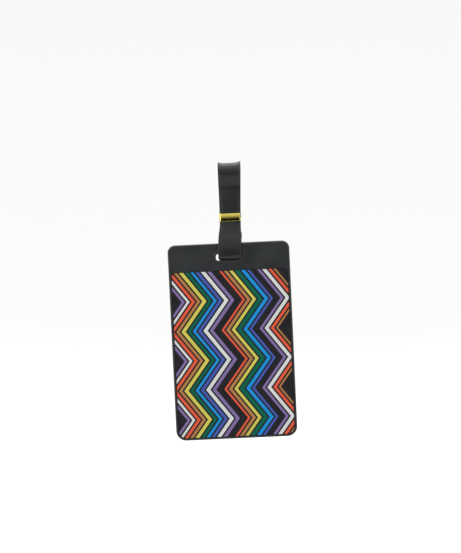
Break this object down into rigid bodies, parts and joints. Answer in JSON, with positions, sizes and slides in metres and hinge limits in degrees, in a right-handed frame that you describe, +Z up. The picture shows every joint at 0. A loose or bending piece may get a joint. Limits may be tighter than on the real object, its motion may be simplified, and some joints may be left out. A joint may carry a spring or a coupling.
{
  "type": "luggage tag",
  "caption": "Soft PVC luggage tag with a zigzag striped front, a clear card pocket at the back, and a strap loop closed by a gilt keeper.",
  "frame": {"origin": "inside top of the strap's eye, where it hangs on a bag's handle", "axes": "+X across the tag, to the right seen from the printed front; +Y out of the back, where the card pocket is; +Z up, along the hanging tag"},
  "size_m": [0.065, 0.0084, 0.1482],
  "materials": {
    "tag_pvc": "soft black PVC, satin gloss",
    "print": "laminated print of coloured zigzag stripes on black",
    "board": "grey-brown stiffener board",
    "clear_film": "clear PVC film",
    "card": "uncoated paper with ruled lines",
    "strap_pvc": "soft black PVC, semi-gloss",
    "gilt": "polished gold plating"
  },
  "bodies": {
    "strap": {"strap_eye": "strap_pvc", "strap_tail": "strap_pvc"},
    "keeper": {"keeper": "gilt"},
    "strap_loop": {"strap_loop": "strap_pvc"},
    "tag": {"front_shell": "tag_pvc", "printed_sheet": "print", "stiffener_board": "board", "back_shell": "tag_pvc", "clear_window": "clear_film"},
    "name_card": {"name_card": "card"}
  },
  "joints": [
    {"name": "keeper_slide", "type": "slide", "parent": "strap", "child": "keeper", "axis": [0.0384, 0, 0.9993], "range_m": [-0.0004, 0.012]},
    {"name": "tag_swing", "type": "hinge", "parent": "strap", "child": "strap_loop", "pos_m": [-0.00137, 0, -0.03562], "axis": [1, 0, 0], "range_deg": [-75, 75]},
    {"name": "slot_play", "type": "hinge", "parent": "strap_loop", "child": "tag", "pos_m": [-0.00249, 0, -0.04916], "axis": [0, 1, 0], "range_deg": [-1.2, 3]},
    {"name": "card_slide", "type": "slide", "parent": "tag", "child": "name_card", "axis": [-1, 0, 0], "range_m": [0, 0.055]}
  ]
}
